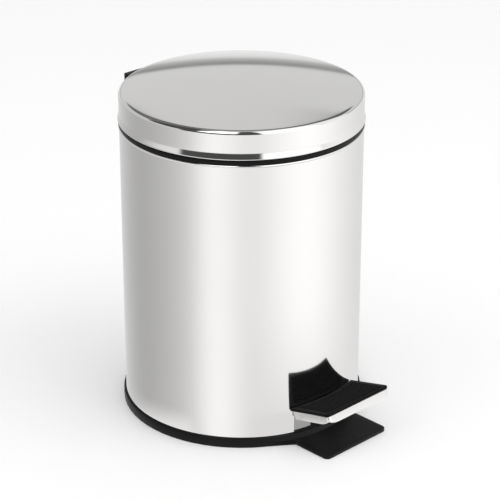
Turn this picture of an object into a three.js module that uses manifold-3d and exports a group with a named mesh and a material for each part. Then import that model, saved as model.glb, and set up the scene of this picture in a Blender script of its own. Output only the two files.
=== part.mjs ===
// A five-litre pedal bin: a round steel can on a black plastic base, with a hinged steel lid,
// an inner bucket with a wire bail, and a pedal whose lever lifts a push rod under the lid.
//
// Frame: millimetres, +Z up, origin on the can's axis at floor level. The pedal points along -Y
// and the lid's hinge is at +Y.
import * as THREE from "three";
import { mergeVertices } from "three/addons/utils/BufferGeometryUtils.js";
import Module from "manifold-3d";

// ---------------------------------------------------------------- driving dimensions
const GAP = 0.3; // assembly gap between two pieces that touch
const SHEET = 0.8; // steel sheet of the can, lid and pan
const ROUND = 64; // facets of the large turned pieces
const SMALL_ROUND = 16; // facets of pins, screws and bores

const CAN_RADIUS = 100; // outside of the steel wall
const CAN_TOP = 249; // upper edge of the steel wall

const BASE_LIP = 2; // how far the base ring stands proud of the wall
const BASE_HEIGHT = 8; // ledge that the wall stands on
const BASE_FLOOR = 2.5; // thickness of the base's floor
const BASE_LEDGE = 8; // radial width of the ledge
const BASE_RIB_HEIGHT = 5; // rib that keeps the wall and the pan apart

const RIM_SKIRT = 9; // plastic rim: depth inside the wall
const RIM_WALL = 1.5;
const RIM_LIP = 2.7; // height that shows between wall and lid
const RIM_PROUD = 0.6;

const LID_PROUD = 1.2; // lid radius over the can radius
const LID_CLEARANCE = 0.5; // lid edge above the rim
const LID_BAND = 20; // straight band of the lid
const LID_FILLET = 3.8; // rounded fold between band and top
const LID_CROWN = 9.5; // slope of the dome at its edge, degrees
const LINER_WALL = 3.2; // plastic ring inside the lid
const LINER_HEIGHT = 8;
const LINER_LIFT = 1.5; // liner above the lid's edge
const BUMPER_RADIUS = 1.5;
const BUMPER_ANGLES = { front: -90, left: 150, right: 30 };

const PAN_TOP = 48; // steel pan that the bucket stands on
const PAN_INSET = 3; // pan skirt inside the can radius
const PAN_SLOT = 14; // half-width of the lever's slot in the skirt
const SCREW_POST = { x: 48, y: 40, radius: 5, depth: 14 };
const SCREW_RADIUS = 1.3;
const SCREW_HEAD = { radius: 3.5, height: 2 };

const NOTCH_HALF = 32.3; // notch in the wall for the pedal
const NOTCH_TOP = 30;

const ROD_RADIUS = 2;
const ROD_INSET = 9; // rod axis inside the can radius
const ROD_SHOE = { radius: 4, height: 8 };
const ROD_HEAD = { half: 7, height: 7, inner: 3.7, outer: 5.3 };
const BORE_PLAY = 0.4; // radial play of the rod in its guides
const GUIDE_PLATE = { half: 18, height: 12, thick: 5, eye: 5 };

const HINGE_OUT = 8; // hinge axis behind the can radius
const HINGE_LIFT = 1.5; // hinge axis above the lid's edge
const HINGE_PIN = { radius: 2, half: 27 };
const KNUCKLE = { radius: 5.5, half: 15.5 };
const EAR = { inner: 16, outer: 26 };
const LID_BLOCK = { half: 28, bottom: 7, top: 14, depth: 5 };
const BRACKET = { top: 6, height: 36, depth: 4 };
const FASTENER = { radius: 1.5, play: 0.3, headRadius: 3, headHeight: 1.7 };
const BRACKET_SCREW = { x: 13, below: 32, reach: 1 };
const LID_RIVET = { x: 10, above: 5, reach: 1 };
const LUG = { half: 6, inset: 15, drop: 10, radius: 3.5, play: 0.5 };

const BUCKET_GAP = 14.5; // can radius to the bucket's flange
const BUCKET_TAPER = 12; // how much narrower the bucket is at its foot
const BUCKET_WALL = 1.6;
const BUCKET_BELOW = 11; // flange below the can's upper edge
const BUCKET_FLANGE = { out: 1.5, height: 2.5 };
const BUCKET_FOOT = { inset: 1, width: 3, height: 3.7 };
const BUCKET_FLOOR = 2;
const BAIL = { radius: 1.5, gap: 5.5, below: 8, rest: 1 };
const EAR_BLOCK = { length: 3.4, half: 5, height: 6 };

const PEDAL_TILT = 14.2; // upward slope of the pedal at rest, degrees
const PEDAL_HALF = 36.8; // half-width
const PEDAL_LENGTH = 43.4; // along the slope, at the side edges
const PEDAL_REAR = { inset: 5.9, z: 31.6 }; // rear corners of the pad's top
const PEDAL_WALL_GAP = 1; // pad's rear edge to the can
const PEDAL_CORNER = 3;
const PAD_THICK = 3;
const PAD_INSET = 0.4;
const TRAY_SHEET = 1;
const TRAY_DEPTH = { rear: 10.4, front: 7.2 }; // lower edge of the tray under the pad's top
const LEVER = { half: 12, tail: 7, thick: 2.2, reach: 33, end: 5.5 };
const LEVER_RIVET = { radius: 1.6, headRadius: 3, headHeight: 1.2, stations: [14, 27] };

const AXLE = { y: -20, z: 14, radius: 2.5, half: 24.5 };
const AXLE_BOSS = { inner: 15.5, outer: 21.5, half: 7, top: 6 };
const AXLE_KNUCKLE = { radius: 5.5, half: 14.8 };
const AXLE_CLIP = { radius: 4.5, width: 2 };

const TONGUE = { reach: 36, half: 35.6, thick: 2.8, corner: 4, rootHalf: 56, rootInset: 15 };

// ---------------------------------------------------------------- sizes that follow
const wallInner = CAN_RADIUS - SHEET;
const rimOuter = wallInner - GAP;
const rimInner = rimOuter - RIM_WALL;
const rimTop = CAN_TOP + GAP + RIM_LIP;
const lidRadius = CAN_RADIUS + LID_PROUD;
const lidBottom = rimTop + LID_CLEARANCE;
const linerOuter = lidRadius - SHEET - GAP;
const linerInner = linerOuter - LINER_WALL;
const linerBottom = lidBottom + LINER_LIFT;
const linerTop = linerBottom + LINER_HEIGHT;
const hingeY = CAN_RADIUS + HINGE_OUT;
const hingeZ = lidBottom + HINGE_LIFT;
const lugY = hingeY - LUG.inset;
const lugZ = hingeZ - LUG.drop;
const rodY = CAN_RADIUS - ROD_INSET;
const guideFace = wallInner - GAP - GUIDE_PLATE.thick;
const rodHeadTop = lugZ - LUG.radius - LUG.play;
const panOuter = CAN_RADIUS - PAN_INSET;
const bushRadius = ROD_RADIUS + BORE_PLAY + 1;
const bucketTop = CAN_TOP - BUCKET_BELOW;
const bucketFlange = CAN_RADIUS - BUCKET_GAP;
const bucketRadius = bucketFlange - BUCKET_FLANGE.out;
const bucketFootRadius = bucketRadius - BUCKET_TAPER;
const bucketBottom = PAN_TOP + GAP;
const bucketFloor = bucketBottom + BUCKET_FOOT.height;
const bailZ = bucketTop - BAIL.below;
const bailRadius = bucketFlange + BAIL.gap;
const bailEnd = bucketRadius + 0.6; // how near the axis the bail's ends reach
const leverTail = { y: CAN_RADIUS - LEVER.end, z: 12.5 };
const notchFloor = BASE_HEIGHT + GAP;

// ---------------------------------------------------------------- materials
const paint = (color, metalness, roughness) =>
  new THREE.MeshStandardMaterial({ color, metalness, roughness });
const polishedSteel = paint(0xd9dadc, 1, 0.14);
const plainSteel = paint(0xb9bbbd, 1, 0.35);
const blackPlastic = paint(0x17181a, 0, 0.4);
const bucketPlastic = paint(0x1d1e20, 0, 0.5);
const blackRubber = paint(0x101112, 0, 0.75);
const whitePlastic = paint(0xd8d8d4, 0, 0.5);

// ---------------------------------------------------------------- shaping helpers
const wasm = await Module();
wasm.setup();
const radians = THREE.MathUtils.degToRad;

// A closed three.js geometry as a manifold solid.
function solid(geometry) {
  const bare = geometry.clone();
  for (const name of Object.keys(bare.attributes)) {
    if (name !== "position") bare.deleteAttribute(name);
  }
  const merged = mergeVertices(bare, 1e-4);
  const mesh = new wasm.Mesh({
    numProp: 3,
    vertProperties: new Float32Array(merged.attributes.position.array),
    triVerts: new Uint32Array(merged.index.array),
  });
  mesh.merge();
  return new wasm.Manifold(mesh);
}

// A manifold solid as a three.js geometry with flat normals.
function geometryOf(body) {
  const mesh = body.getMesh();
  const shared = new THREE.BufferGeometry();
  shared.setAttribute("position", new THREE.BufferAttribute(mesh.vertProperties, 3));
  shared.setIndex(new THREE.BufferAttribute(mesh.triVerts, 1));
  const flat = shared.toNonIndexed();
  flat.computeVertexNormals();
  return flat;
}

// Turns a profile of [radius, z] points round the Z axis.
function turned(profile, facets = ROUND) {
  const points = profile.map(([r, z]) => new THREE.Vector2(r, z));
  if (points[0].x > 0) points.push(points[0].clone());
  if (THREE.ShapeUtils.area(points) < 0) points.reverse();
  return solid(new THREE.LatheGeometry(points, facets).rotateX(Math.PI / 2));
}

// A ring with a rectangular section.
const ring = (inner, outer, low, high, facets = ROUND) =>
  turned([[inner, low], [outer, low], [outer, high], [inner, high]], facets);

function box(low, high) {
  const size = high.map((value, i) => value - low[i]);
  const centre = high.map((value, i) => (value + low[i]) / 2);
  return solid(new THREE.BoxGeometry(...size).translate(...centre));
}

// A round bar along +Z from a low to a high station.
function bar(radius, low, high, x = 0, y = 0, facets = SMALL_ROUND) {
  const shape = new THREE.CylinderGeometry(radius, radius, high - low, facets);
  return solid(shape.rotateX(Math.PI / 2).translate(x, y, (low + high) / 2));
}

function barAlongX(radius, low, high, y, z, facets = SMALL_ROUND) {
  const shape = new THREE.CylinderGeometry(radius, radius, high - low, facets);
  return solid(shape.rotateZ(Math.PI / 2).translate((low + high) / 2, y, z));
}

function barAlongY(radius, low, high, x, z, facets = SMALL_ROUND) {
  const shape = new THREE.CylinderGeometry(radius, radius, high - low, facets);
  return solid(shape.translate(x, (low + high) / 2, z));
}

// A flat outline of [x, y] points pushed up from one height to another.
function slab(outline, low, high) {
  const shape = new THREE.Shape(outline.map(([x, y]) => new THREE.Vector2(x, y)));
  const raised = new THREE.ExtrudeGeometry(shape, { depth: high - low, bevelEnabled: false });
  return solid(raised.translate(0, 0, low));
}

// A side outline of [y, z] points, as wide as half on each side of the middle plane.
function sidePlate(outline, half, middle = 0) {
  const shape = new THREE.Shape(outline.map(([y, z]) => new THREE.Vector2(y, z)));
  const raised = new THREE.ExtrudeGeometry(shape, { depth: 2 * half, bevelEnabled: false });
  // The outline's own axes become Y and Z, and its depth becomes X.
  const turn = new THREE.Matrix4().makeBasis(
    new THREE.Vector3(0, 1, 0), new THREE.Vector3(0, 0, 1), new THREE.Vector3(1, 0, 0));
  return solid(raised.applyMatrix4(turn).translate(middle - half, 0, 0));
}

// Points of a circular arc, angles in degrees.
function arc(centre, radius, from, to, steps) {
  return Array.from({ length: steps + 1 }, (_, i) => {
    const angle = radians(from + ((to - from) * i) / steps);
    return [centre[0] + radius * Math.cos(angle), centre[1] + radius * Math.sin(angle)];
  });
}

const joined = (first, ...others) => others.reduce((sum, next) => sum.add(next), first);
const cut = (first, ...others) => others.reduce((rest, next) => rest.subtract(next), first);

function piece(name, shape, material) {
  const geometry = shape.isBufferGeometry ? shape : geometryOf(shape);
  const mesh = new THREE.Mesh(geometry, material);
  mesh.name = name;
  return mesh;
}

const group = (...children) => new THREE.Group().add(...children);

// ---------------------------------------------------------------- can
function outerBody() {
  const wall = ring(wallInner, CAN_RADIUS, notchFloor, CAN_TOP);
  const notch = box([-NOTCH_HALF, -2 * CAN_RADIUS, 0], [NOTCH_HALF, 0, NOTCH_TOP]);
  const holes = [-1, 1].map((side) =>
    barAlongY(FASTENER.radius + FASTENER.play, CAN_RADIUS / 2, 2 * CAN_RADIUS,
      side * BRACKET_SCREW.x, hingeZ - BRACKET_SCREW.below));
  return piece("outer_body", cut(wall, notch, ...holes), polishedSteel);
}

function rimRing() {
  const profile = [
    [rimInner, CAN_TOP - RIM_SKIRT],
    [rimOuter, CAN_TOP - RIM_SKIRT],
    [rimOuter, CAN_TOP + GAP],
    [CAN_RADIUS + RIM_PROUD, CAN_TOP + GAP],
    [CAN_RADIUS + RIM_PROUD, rimTop],
    [rimInner, rimTop],
  ];
  return piece("rim_ring", turned(profile), blackPlastic);
}

const postPlaces = [-1, 1].flatMap((sx) =>
  [-1, 1].map((sy) => [sx * SCREW_POST.x, sy * SCREW_POST.y]));

function bodyPan() {
  const profile = [
    [0, PAN_TOP - SHEET],
    [panOuter - SHEET, PAN_TOP - SHEET],
    [panOuter - SHEET, notchFloor],
    [panOuter, notchFloor],
    [panOuter, PAN_TOP],
    [0, PAN_TOP],
  ];
  const slot = box([-PAN_SLOT, -CAN_RADIUS, 0], [PAN_SLOT, -CAN_RADIUS / 2, NOTCH_TOP + 2]);
  const rodHole = bar(bushRadius + GAP, 0, 2 * PAN_TOP, 0, rodY);
  const screwHoles = postPlaces.map(([x, y]) =>
    bar(SCREW_RADIUS + 3 * GAP, PAN_TOP - 2, PAN_TOP + 2, x, y));
  return piece("body_pan", cut(turned(profile), slot, rodHole, ...screwHoles), plainSteel);
}

function panBush() {
  const flange = { out: 1.6, height: 1.2 };
  const bore = ROD_RADIUS + BORE_PLAY;
  const profile = [
    [bore, PAN_TOP - 3],
    [bushRadius, PAN_TOP - 3],
    [bushRadius, PAN_TOP + GAP],
    [bushRadius + flange.out, PAN_TOP + GAP],
    [bushRadius + flange.out, PAN_TOP + GAP + flange.height],
    [bore, PAN_TOP + GAP + flange.height],
  ];
  const bush = turned(profile, SMALL_ROUND).translate([0, rodY, 0]);
  return piece("pan_bush", bush, whitePlastic);
}

function panScrews() {
  const names = ["rear_left", "front_left", "rear_right", "front_right"];
  const places = [[-1, 1], [-1, -1], [1, 1], [1, -1]];
  return names.map((name, i) => {
    const x = places[i][0] * SCREW_POST.x;
    const y = places[i][1] * SCREW_POST.y;
    const seat = PAN_TOP + GAP;
    const head = bar(SCREW_HEAD.radius, seat, seat + SCREW_HEAD.height, x, y);
    const shank = bar(SCREW_RADIUS, PAN_TOP - SCREW_POST.depth + 2, seat + 1, x, y);
    return piece(`pan_screw_${name}`, joined(head, shank), plainSteel);
  });
}

// ---------------------------------------------------------------- base
// The tongue that lies on the floor under the pedal and keeps the bin from tipping.
function tongue() {
  const front = -(CAN_RADIUS + TONGUE.reach);
  const corner = TONGUE.corner;
  const root = -CAN_RADIUS + TONGUE.rootInset; // where the web leaves the ring
  const outline = [
    [TONGUE.rootHalf, root],
    [-TONGUE.rootHalf, root],
    [-TONGUE.half, -CAN_RADIUS],
    ...arc([-TONGUE.half + corner, front + corner], corner, 180, 270, 4),
    ...arc([TONGUE.half - corner, front + corner], corner, 270, 360, 4),
    [TONGUE.half, -CAN_RADIUS],
  ];
  return slab(outline, 0, TONGUE.thick);
}

function base() {
  const outer = CAN_RADIUS + BASE_LIP;
  const ribOuter = rimOuter;
  const ribInner = panOuter + GAP;
  const ledgeInner = outer - BASE_LEDGE;
  const profile = [
    [0, 0],
    [outer, 0],
    [outer, BASE_HEIGHT],
    [ribOuter, BASE_HEIGHT],
    [ribOuter, BASE_HEIGHT + BASE_RIB_HEIGHT],
    [ribInner, BASE_HEIGHT + BASE_RIB_HEIGHT],
    [ribInner, BASE_HEIGHT],
    [ledgeInner, BASE_HEIGHT],
    [ledgeInner, BASE_FLOOR],
    [0, BASE_FLOOR],
  ];
  const ribGap = box([-NOTCH_HALF - 1, -2 * CAN_RADIUS, BASE_HEIGHT],
    [NOTCH_HALF + 1, 0, BASE_HEIGHT + 2 * BASE_RIB_HEIGHT]);
  const postTop = PAN_TOP - SHEET - GAP;
  const posts = postPlaces.map(([x, y]) => bar(SCREW_POST.radius, 1, postTop, x, y));
  const pilots = postPlaces.map(([x, y]) =>
    bar(SCREW_RADIUS + GAP, postTop - SCREW_POST.depth, PAN_TOP, x, y));
  const bosses = [-1, 1].map((side) => {
    const ends = [side * AXLE_BOSS.inner, side * AXLE_BOSS.outer].sort((a, b) => a - b);
    return box([ends[0], AXLE.y - AXLE_BOSS.half, 1],
      [ends[1], AXLE.y + AXLE_BOSS.half, AXLE.z + AXLE_BOSS.top]);
  });
  const axleBore = barAlongX(AXLE.radius + GAP, -AXLE.half - 5, AXLE.half + 5, AXLE.y, AXLE.z);
  const plate = joined(turned(profile), tongue());
  const body = joined(cut(plate, ribGap), ...posts, ...bosses);
  return piece("base", cut(body, axleBore, ...pilots), blackPlastic);
}

function axle() {
  const shaft = barAlongX(AXLE.radius, -AXLE.half, AXLE.half, AXLE.y, AXLE.z);
  const clips = [["left", -1], ["right", 1]].map(([name, side]) => {
    const near = side * (AXLE_BOSS.outer + GAP);
    const ends = [near, near + side * AXLE_CLIP.width].sort((a, b) => a - b);
    const disc = barAlongX(AXLE_CLIP.radius, ends[0], ends[1], AXLE.y, AXLE.z);
    const hole = barAlongX(AXLE.radius + GAP, ends[0] - 1, ends[1] + 1, AXLE.y, AXLE.z);
    return piece(`axle_clip_${name}`, cut(disc, hole), plainSteel);
  });
  return [piece("pedal_axle", shaft, plainSteel), ...clips];
}

// ---------------------------------------------------------------- bucket
function innerBucket() {
  const footOuter = bucketFootRadius - BUCKET_FOOT.inset;
  const footInner = footOuter - BUCKET_FOOT.width;
  const flangeBottom = bucketTop - BUCKET_FLANGE.height;
  const profile = [
    [0, bucketFloor],
    [footInner, bucketFloor],
    [footInner, bucketBottom],
    [footOuter, bucketBottom],
    [footOuter, bucketFloor],
    [bucketFootRadius, bucketFloor],
    [bucketRadius, flangeBottom],
    [bucketFlange, flangeBottom],
    [bucketFlange, bucketTop],
    [bucketRadius - BUCKET_WALL, bucketTop],
    [bucketFootRadius - BUCKET_WALL, bucketFloor + BUCKET_FLOOR],
    [0, bucketFloor + BUCKET_FLOOR],
  ];
  const ears = [-1, 1].map((side) => {
    const ends = [side * (bucketRadius - 1), side * (bucketRadius + EAR_BLOCK.length)];
    ends.sort((a, b) => a - b);
    return box([ends[0], -EAR_BLOCK.half, bailZ - EAR_BLOCK.height],
      [ends[1], EAR_BLOCK.half, bailZ + EAR_BLOCK.height - GAP]);
  });
  const holes = [-1, 1].map((side) => {
    const ends = [side * (bailEnd - GAP), side * CAN_RADIUS].sort((a, b) => a - b);
    return barAlongX(BAIL.radius + BORE_PLAY, ends[0], ends[1], 0, bailZ);
  });
  return piece("inner_bucket", cut(joined(turned(profile), ...ears), ...holes), bucketPlastic);
}

// The angle at which the bail's bow comes to rest against the tapered front of the bucket.
function bailDroop() {
  const flangeBottom = bucketTop - BUCKET_FLANGE.height;
  const taper = BUCKET_TAPER / (flangeBottom - bucketFloor);
  const bucketAtEars = bucketRadius - taper * (flangeBottom - bailZ);
  const reach = bucketAtEars + BAIL.radius + BAIL.rest;
  return Math.atan(taper) + Math.acos(reach / (bailRadius * Math.hypot(1, taper)));
}

// The wire bail hangs from the bucket's two ears and rests against the bucket's front.
function bucketHandle() {
  const ear = bucketRadius + EAR_BLOCK.length;
  const startAngle = 3;
  const steps = 22;
  const bow = Array.from({ length: steps + 1 }, (_, i) => {
    const angle = radians(startAngle + ((180 - 2 * startAngle) * i) / steps);
    return new THREE.Vector3(bailRadius * Math.cos(angle), -bailRadius * Math.sin(angle), 0);
  });
  const stub = [bailEnd, ear, ear + BAIL.radius];
  const points = [
    ...stub.map((x) => new THREE.Vector3(x, 0, 0)),
    ...bow,
    ...stub.reverse().map((x) => new THREE.Vector3(-x, 0, 0)),
  ];
  const section = new THREE.Shape(arc([0, 0], BAIL.radius, 0, 315, 7)
    .map(([x, y]) => new THREE.Vector2(x, y)));
  const wire = new THREE.ExtrudeGeometry(section, {
    steps: 3 * steps,
    bevelEnabled: false,
    extrudePath: new THREE.CatmullRomCurve3(points, false, "centripetal"),
  });
  const handle = piece("bucket_handle", solid(wire), plainSteel);
  handle.position.set(0, 0, bailZ);
  handle.rotation.x = bailDroop();
  return handle;
}

// ---------------------------------------------------------------- lid
// The lid's outside, from its apex down to its edge, set in by the given wall.
function lidOutline(inset) {
  const fillet = LID_FILLET - inset;
  const centre = [lidRadius - LID_FILLET, lidBottom + LID_BAND];
  const crown = radians(LID_CROWN);
  const sphere = (centre[0] + LID_FILLET * Math.sin(crown)) / Math.sin(crown) - inset;
  const fold = centre[1] + LID_FILLET * Math.cos(crown);
  const sphereZ = fold - (sphere + inset) * Math.cos(crown);
  const dome = arc([0, sphereZ], sphere, 90, 90 - LID_CROWN, 6);
  const bend = arc(centre, fillet, 90 - LID_CROWN, 0, 5).slice(1);
  return [...dome, ...bend, [lidRadius - inset, lidBottom]];
}

const rivetHoles = () => [-1, 1].map((side) =>
  barAlongY(FASTENER.radius + FASTENER.play, CAN_RADIUS / 2, hingeY + LID_RIVET.reach + GAP,
    side * LID_RIVET.x, hingeZ + LID_RIVET.above));

function lidShell() {
  const profile = [...lidOutline(0), ...lidOutline(SHEET).reverse()];
  profile[0][0] = 0;
  profile[profile.length - 1][0] = 0;
  return piece("lid_shell", cut(turned(profile), ...rivetHoles()), polishedSteel);
}

const bumperRadius = (linerInner + linerOuter) / 2;
const bumperPlace = (angle) => arc([0, 0], bumperRadius, angle, angle, 1)[0];

// The ring inside the lid, with the lug at the back that the push rod lifts.
function lidLiner() {
  const band = ring(linerInner, linerOuter, linerBottom, linerTop);
  const root = linerInner + LINER_WALL / 2;
  const outline = [
    [root, linerTop],
    [lugY - LUG.radius, linerTop],
    ...arc([lugY, lugZ], LUG.radius, 180, 360, 8),
    [lugY + LUG.radius, linerBottom],
    [root, linerBottom],
  ];
  const sockets = Object.values(BUMPER_ANGLES).map((angle) => {
    const [x, y] = bumperPlace(angle);
    return bar(1 + GAP, linerBottom - 1, linerBottom + 3, x, y, 8);
  });
  const body = joined(band, sidePlate(outline, LUG.half));
  return piece("lid_liner", cut(body, ...rivetHoles(), ...sockets), blackPlastic);
}

function lidBumpers() {
  return Object.entries(BUMPER_ANGLES).map(([name, angle]) => {
    const [x, y] = bumperPlace(angle);
    const head = bar(BUMPER_RADIUS, rimTop + GAP, linerBottom - GAP, x, y, 12);
    const stem = bar(1, rimTop + 1, linerBottom + 2.5, x, y, 8);
    return piece(`lid_bumper_${name}`, joined(head, stem), blackRubber);
  });
}

function lidRivets() {
  return [["left", -1], ["right", 1]].map(([name, side]) => {
    const x = side * LID_RIVET.x;
    const z = hingeZ + LID_RIVET.above;
    const edge = Math.abs(x) + FASTENER.headRadius;
    const seat = Math.sqrt(linerInner ** 2 - edge ** 2) - GAP;
    const head = barAlongY(FASTENER.headRadius, seat - FASTENER.headHeight, seat, x, z);
    const shank = barAlongY(FASTENER.radius, seat - 1, hingeY + LID_RIVET.reach, x, z);
    return piece(`lid_rivet_${name}`, joined(head, shank), plainSteel);
  });
}

// ---------------------------------------------------------------- hinge
const hingeBore = () =>
  barAlongX(HINGE_PIN.radius + GAP, -HINGE_PIN.half - 2, HINGE_PIN.half + 2, hingeY, hingeZ);

function lidHingeBlock() {
  const depth = hingeY + LID_BLOCK.depth;
  const cover = box([-LID_BLOCK.half, CAN_RADIUS - 10, hingeZ + LID_BLOCK.bottom],
    [LID_BLOCK.half, depth, hingeZ + LID_BLOCK.top]);
  const web = box([-KNUCKLE.half, CAN_RADIUS, hingeZ],
    [KNUCKLE.half, depth, hingeZ + LID_BLOCK.bottom + 1]);
  const knuckle = barAlongX(KNUCKLE.radius, -KNUCKLE.half, KNUCKLE.half, hingeY, hingeZ);
  const lid = bar(lidRadius + GAP, 0, 2 * CAN_TOP, 0, 0, ROUND);
  const body = cut(joined(cover, web, knuckle), lid, hingeBore(), ...rivetHoles());
  return piece("lid_hinge_block", body, blackPlastic);
}

function hingeBracket() {
  const top = hingeZ - BRACKET.top;
  const depth = hingeY + BRACKET.depth;
  const plate = box([-EAR.outer, CAN_RADIUS - 10, top - BRACKET.height],
    [EAR.outer, depth, top]);
  const ears = [-1, 1].map((side) => {
    const ends = [side * EAR.inner, side * EAR.outer].sort((a, b) => a - b);
    const post = box([ends[0], hingeY - KNUCKLE.radius, top - 1],
      [ends[1], hingeY + KNUCKLE.radius - 1, hingeZ]);
    return joined(post, barAlongX(KNUCKLE.radius, ends[0], ends[1], hingeY, hingeZ));
  });
  const can = bar(CAN_RADIUS + RIM_PROUD + GAP, 0, 2 * CAN_TOP, 0, 0, ROUND);
  const sweep = barAlongX(KNUCKLE.radius + 1, -EAR.inner, EAR.inner, hingeY, hingeZ);
  const screwHoles = [-1, 1].map((side) =>
    barAlongY(FASTENER.radius + FASTENER.play, CAN_RADIUS / 2,
      hingeY + BRACKET_SCREW.reach + GAP, side * BRACKET_SCREW.x,
      hingeZ - BRACKET_SCREW.below));
  const body = cut(joined(plate, ...ears), can, sweep, hingeBore(), ...screwHoles);
  return piece("hinge_bracket", body, blackPlastic);
}

const hingePin = () =>
  piece("hinge_pin",
    barAlongX(HINGE_PIN.radius, -HINGE_PIN.half, HINGE_PIN.half, hingeY, hingeZ), plainSteel);

// ---------------------------------------------------------------- push rod and its guides
// Upper guide: a plate inside the wall with an eye round the rod.
function rodGuide() {
  const middle = hingeZ - BRACKET_SCREW.below;
  const low = middle - GUIDE_PLATE.height / 2;
  const high = middle + GUIDE_PLATE.height / 2;
  const plate = box([-GUIDE_PLATE.half, guideFace, low],
    [GUIDE_PLATE.half, CAN_RADIUS, high]);
  const eye = box([-GUIDE_PLATE.eye, rodY - bushRadius, low],
    [GUIDE_PLATE.eye, guideFace + 1, high]);
  const inside = bar(wallInner - GAP, 0, 2 * CAN_TOP, 0, 0, ROUND);
  const bore = bar(ROD_RADIUS + BORE_PLAY, low - 1, high + 1, 0, rodY);
  const screwHoles = [-1, 1].map((side) =>
    barAlongY(FASTENER.radius + FASTENER.play, CAN_RADIUS / 2, 2 * CAN_RADIUS,
      side * BRACKET_SCREW.x, middle));
  const body = cut(joined(plate, eye).intersect(inside), bore, ...screwHoles);
  return piece("rod_guide", body, whitePlastic);
}

function bracketScrews() {
  return [["left", -1], ["right", 1]].map(([name, side]) => {
    const x = side * BRACKET_SCREW.x;
    const z = hingeZ - BRACKET_SCREW.below;
    const seat = guideFace - GAP;
    const head = barAlongY(FASTENER.headRadius, seat - FASTENER.headHeight, seat, x, z);
    const shank = barAlongY(FASTENER.radius, seat - 1, hingeY + BRACKET_SCREW.reach, x, z);
    return piece(`bracket_screw_${name}`, joined(head, shank), plainSteel);
  });
}

function pushRod() {
  const shoeBottom = leverTail.z + GAP;
  const shoeTop = shoeBottom + ROD_SHOE.height;
  const headBottom = rodHeadTop - ROD_HEAD.height;
  const wireBottom = shoeBottom + 3;
  const wireTop = rodHeadTop - 2.5;
  const shoe = cut(bar(ROD_SHOE.radius, shoeBottom, shoeTop, 0, rodY),
    bar(ROD_RADIUS + GAP, wireBottom - GAP, shoeTop + 1, 0, rodY));
  const head = cut(
    box([-ROD_HEAD.half, rodY - ROD_HEAD.inner, headBottom],
      [ROD_HEAD.half, rodY + ROD_HEAD.outer, rodHeadTop]),
    bar(ROD_RADIUS + GAP, headBottom - 1, wireTop + GAP, 0, rodY));
  return [
    piece("push_rod", bar(ROD_RADIUS, wireBottom, wireTop, 0, rodY), plainSteel),
    piece("rod_shoe", shoe, whitePlastic),
    piece("rod_head", head, whitePlastic),
  ];
}

// ---------------------------------------------------------------- pedal
// In the pedal's own frame the pad's top is the plane z = 0, its rear corners are at y = 0 and
// it runs along -Y. The rear edge is hollowed so that it follows the can.
const slope = radians(PEDAL_TILT);
const pedalRearY = -(CAN_RADIUS - PEDAL_REAR.inset);

function pedalOutline(inset, rearGap) {
  const half = PEDAL_HALF - inset;
  const front = -PEDAL_LENGTH + inset;
  const corner = PEDAL_CORNER - inset;
  const steps = 12;
  const radius = CAN_RADIUS + rearGap;
  const rear = Array.from({ length: steps + 1 }, (_, i) => {
    const x = half - (2 * half * i) / steps;
    return [x, (-Math.sqrt(radius ** 2 - x ** 2) - pedalRearY) / Math.cos(slope)];
  });
  return [
    ...rear,
    ...arc([-half + corner, front + corner], corner, 180, 270, 4),
    ...arc([half - corner, front + corner], corner, 270, 360, 4),
  ];
}

const trayTop = -(PAD_THICK + GAP);
const leverTop = trayTop - TRAY_SHEET - GAP;

function pedalPad() {
  return piece("pedal_pad",
    slab(pedalOutline(PAD_INSET, PEDAL_WALL_GAP), -PAD_THICK, 0), blackRubber);
}

const rivetBores = (radius) => LEVER_RIVET.stations.map((station) =>
  bar(radius, leverTop - 6, trayTop + 1, 0, -station));

// A pressed steel tray: a flat top with its sides and front turned down.
function pedalPlate() {
  const blank = slab(pedalOutline(0, PEDAL_WALL_GAP + GAP), -TRAY_DEPTH.rear, trayTop);
  const inside = slab([
    [PEDAL_HALF - TRAY_SHEET, CAN_RADIUS],
    [-PEDAL_HALF + TRAY_SHEET, CAN_RADIUS],
    ...arc([-PEDAL_HALF + PEDAL_CORNER, -PEDAL_LENGTH + PEDAL_CORNER],
      PEDAL_CORNER - TRAY_SHEET, 180, 270, 4),
    ...arc([PEDAL_HALF - PEDAL_CORNER, -PEDAL_LENGTH + PEDAL_CORNER],
      PEDAL_CORNER - TRAY_SHEET, 270, 360, 4),
  ], -2 * TRAY_DEPTH.rear, trayTop - TRAY_SHEET);
  const taper = sidePlate([
    [-PEDAL_LENGTH - 1, -2 * TRAY_DEPTH.rear],
    [10, -2 * TRAY_DEPTH.rear],
    [-PEDAL_LENGTH / 8, -TRAY_DEPTH.rear],
    [-PEDAL_LENGTH - 1, -TRAY_DEPTH.front],
  ], 2 * PEDAL_HALF);
  const tray = cut(blank, inside, taper, ...rivetBores(LEVER_RIVET.radius + GAP));
  return piece("pedal_plate", tray, polishedSteel);
}

// The pedal frame's point (distance out along the slope, height) as world [y, z].
function onPedal(out, height) {
  return [
    pedalRearY - out * Math.cos(slope) + height * Math.sin(slope),
    PEDAL_REAR.z + out * Math.sin(slope) + height * Math.cos(slope),
  ];
}

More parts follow.
